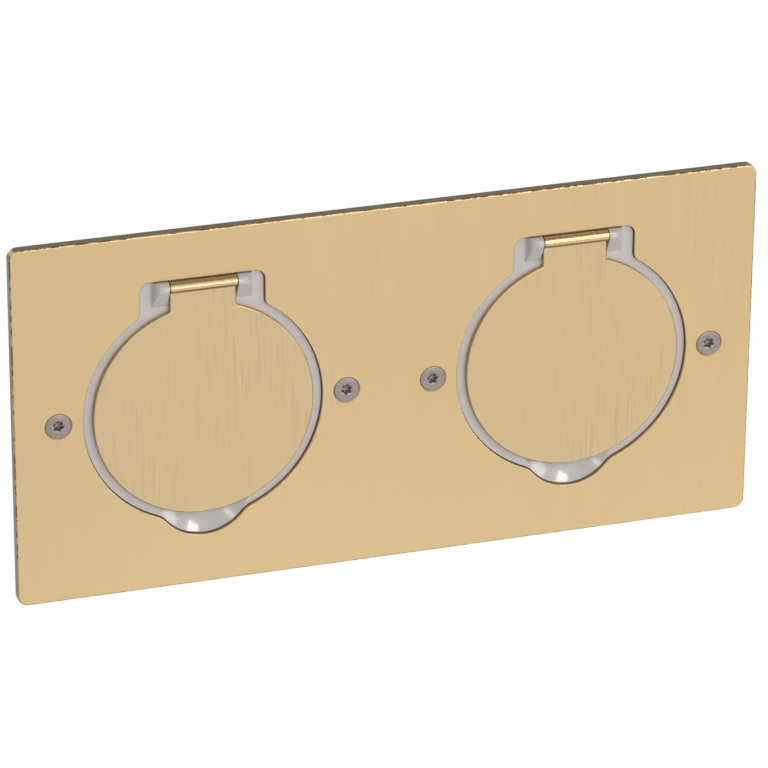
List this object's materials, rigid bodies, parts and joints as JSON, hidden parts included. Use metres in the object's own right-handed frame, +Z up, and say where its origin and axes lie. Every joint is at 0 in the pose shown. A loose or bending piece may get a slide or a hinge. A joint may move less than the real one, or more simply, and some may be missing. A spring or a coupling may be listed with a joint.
{
  "type": "floor socket box",
  "caption": "Flush floor socket box: a brushed brass faceplate with round hinged lids over earthed plug outlets, on a moulded box with conduit adaptors.",
  "frame": {"origin": "middle of the faceplate, at the finished floor: the underside of the gasket that the faceplate lies on", "axes": "+Z up out of the floor, +X along the faceplate's length, +Y towards the hinges of the lids"},
  "size_m": [0.222, 0.11, 0.052],
  "materials": {
    "plate_brass": "satin, brushed along Y",
    "lid_brass": "satin, brushed along Y",
    "frame_moulding": "semi-gloss grey moulding",
    "seal_rubber": "matt",
    "gasket_foam": "matt closed-cell foam",
    "screw_steel": "satin stainless steel",
    "pin_steel": "ground",
    "spring_steel": "spring strip",
    "box_moulding": "fine texture",
    "support_moulding": "fine texture",
    "case_moulding": "plain moulding",
    "socket_white": "gloss",
    "shutter_white": "plain moulding",
    "contact_metal": "nickel plated",
    "insert_brass": "turned"
  },
  "bodies": {
    "box": {"faceplate": "plate_brass", "floor_gasket": "gasket_foam", "faceplate_screws": "screw_steel", "box_rim": "box_moulding", "flush_box": "box_moulding", "box_inserts": "insert_brass", "lid_frame_left": "frame_moulding", "frame_seal_left": "gasket_foam", "hinge_pin_left": "pin_steel", "device_support_left": "support_moulding", "support_screws_left": "screw_steel", "socket_front_left": "socket_white", "socket_body_left": "case_moulding", "shutter_spring_left": "spring_steel", "earth_pin_left": "contact_metal", "line_contact_left": "contact_metal", "neutral_contact_left": "contact_metal", "terminals_left": "insert_brass", "terminal_screws_left": "pin_steel", "conduit_adaptor_left": "support_moulding", "lid_frame_right": "frame_moulding", "frame_seal_right": "gasket_foam", "hinge_pin_right": "pin_steel", "device_support_right": "support_moulding", "support_screws_right": "screw_steel", "socket_front_right": "socket_white", "socket_body_right": "case_moulding", "shutter_spring_right": "spring_steel", "earth_pin_right": "contact_metal", "line_contact_right": "contact_metal", "neutral_contact_right": "contact_metal", "terminals_right": "insert_brass", "terminal_screws_right": "pin_steel", "conduit_adaptor_right": "support_moulding"},
    "left_lid": {"lid_left": "lid_brass", "lid_liner_left": "frame_moulding", "lid_seal_left": "seal_rubber"},
    "left_shutter": {"shutter_left": "shutter_white"},
    "right_lid": {"lid_right": "lid_brass", "lid_liner_right": "frame_moulding", "lid_seal_right": "seal_rubber"},
    "right_shutter": {"shutter_right": "shutter_white"}
  },
  "joints": [
    {"name": "left_lid_hinge", "type": "hinge", "parent": "box", "child": "left_lid", "pos_m": [-0.0555, 0.0386, 0.0043], "axis": [-1, 0, 0], "range_deg": [0, 180]},
    {"name": "left_shutter_slide", "type": "slide", "parent": "box", "child": "left_shutter", "axis": [0, -1, 0], "range_m": [0, 0.0061], "stiffness_N_per_m": 60, "springref_m": -0.004, "deforming": ["shutter_spring_left"]},
    {"name": "right_lid_hinge", "type": "hinge", "parent": "box", "child": "right_lid", "pos_m": [0.0555, 0.0386, 0.0043], "axis": [-1, 0, 0], "range_deg": [0, 180]},
    {"name": "right_shutter_slide", "type": "slide", "parent": "box", "child": "right_shutter", "axis": [0, -1, 0], "range_m": [0, 0.0061], "stiffness_N_per_m": 60, "springref_m": -0.004, "deforming": ["shutter_spring_right"]}
  ]
}
